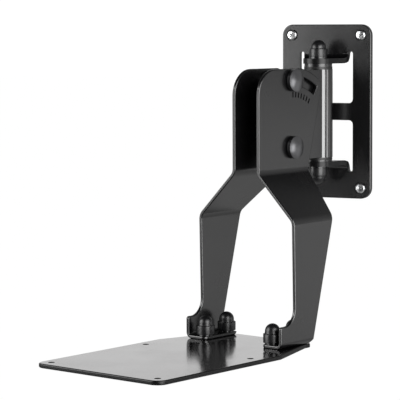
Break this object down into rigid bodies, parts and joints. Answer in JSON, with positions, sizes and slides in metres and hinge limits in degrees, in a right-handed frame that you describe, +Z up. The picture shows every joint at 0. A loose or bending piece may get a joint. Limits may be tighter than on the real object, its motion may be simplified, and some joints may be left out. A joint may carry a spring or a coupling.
{
  "type": "speaker wall bracket",
  "caption": "Black steel wall bracket for a loudspeaker: wall plate with folded ears, swivelling tube and yoke, two folded arms that tilt, and a flat platform.",
  "frame": {"origin": "centre of the wall plate's back face, which lies against the wall and is the middle of the four wall screws", "axes": "+Z up, +Y into the wall, -Y out into the room, +X to the right for someone who faces the wall. The head and cradle stand swivelled 14 degrees towards -X at rest"},
  "size_m": [0.2318, 0.439, 0.3644],
  "materials": {
    "black_coat": "satin black powder coat",
    "black_steel": "black-plated steel, semi-gloss",
    "zinc": "bright zinc plate",
    "cap_plastic": "semi-gloss black",
    "bush_plastic": "matt black"
  },
  "bodies": {
    "wall_side": {"wall_plate": "black_coat", "wall_screws": "zinc", "swivel_bolt": "black_steel", "swivel_nut": "black_steel", "swivel_washers": "black_steel", "thrust_washers": "black_steel", "swivel_caps": "cap_plastic"},
    "swivel_head": {"swivel_tube": "black_coat", "upper_bush": "bush_plastic", "lower_bush": "bush_plastic", "yoke_cheek_left": "black_coat", "yoke_cheek_right": "black_coat", "yoke_web": "black_coat", "pivot_bolt": "black_steel", "lock_bolt": "black_steel", "bolt_sleeves": "black_steel", "friction_washers": "bush_plastic", "tilt_washers": "black_steel", "tilt_nuts": "black_steel", "tilt_caps": "cap_plastic"},
    "cradle": {"arm_left": "black_coat", "arm_right": "black_coat", "platform": "black_coat", "foot_bolts": "black_steel", "foot_washers": "black_steel", "foot_nuts": "black_steel", "foot_caps": "cap_plastic"}
  },
  "joints": [
    {"name": "swivel", "type": "hinge", "parent": "wall_side", "child": "swivel_head", "pos_m": [0, -0.03, 0], "axis": [0, 0, 1], "range_deg": [-31, 59]},
    {"name": "tilt", "type": "hinge", "parent": "swivel_head", "child": "cradle", "pos_m": [-0.01778, -0.10132, -0.0364], "axis": [0.9703, -0.2419, 0], "range_deg": [0, 30]}
  ]
}
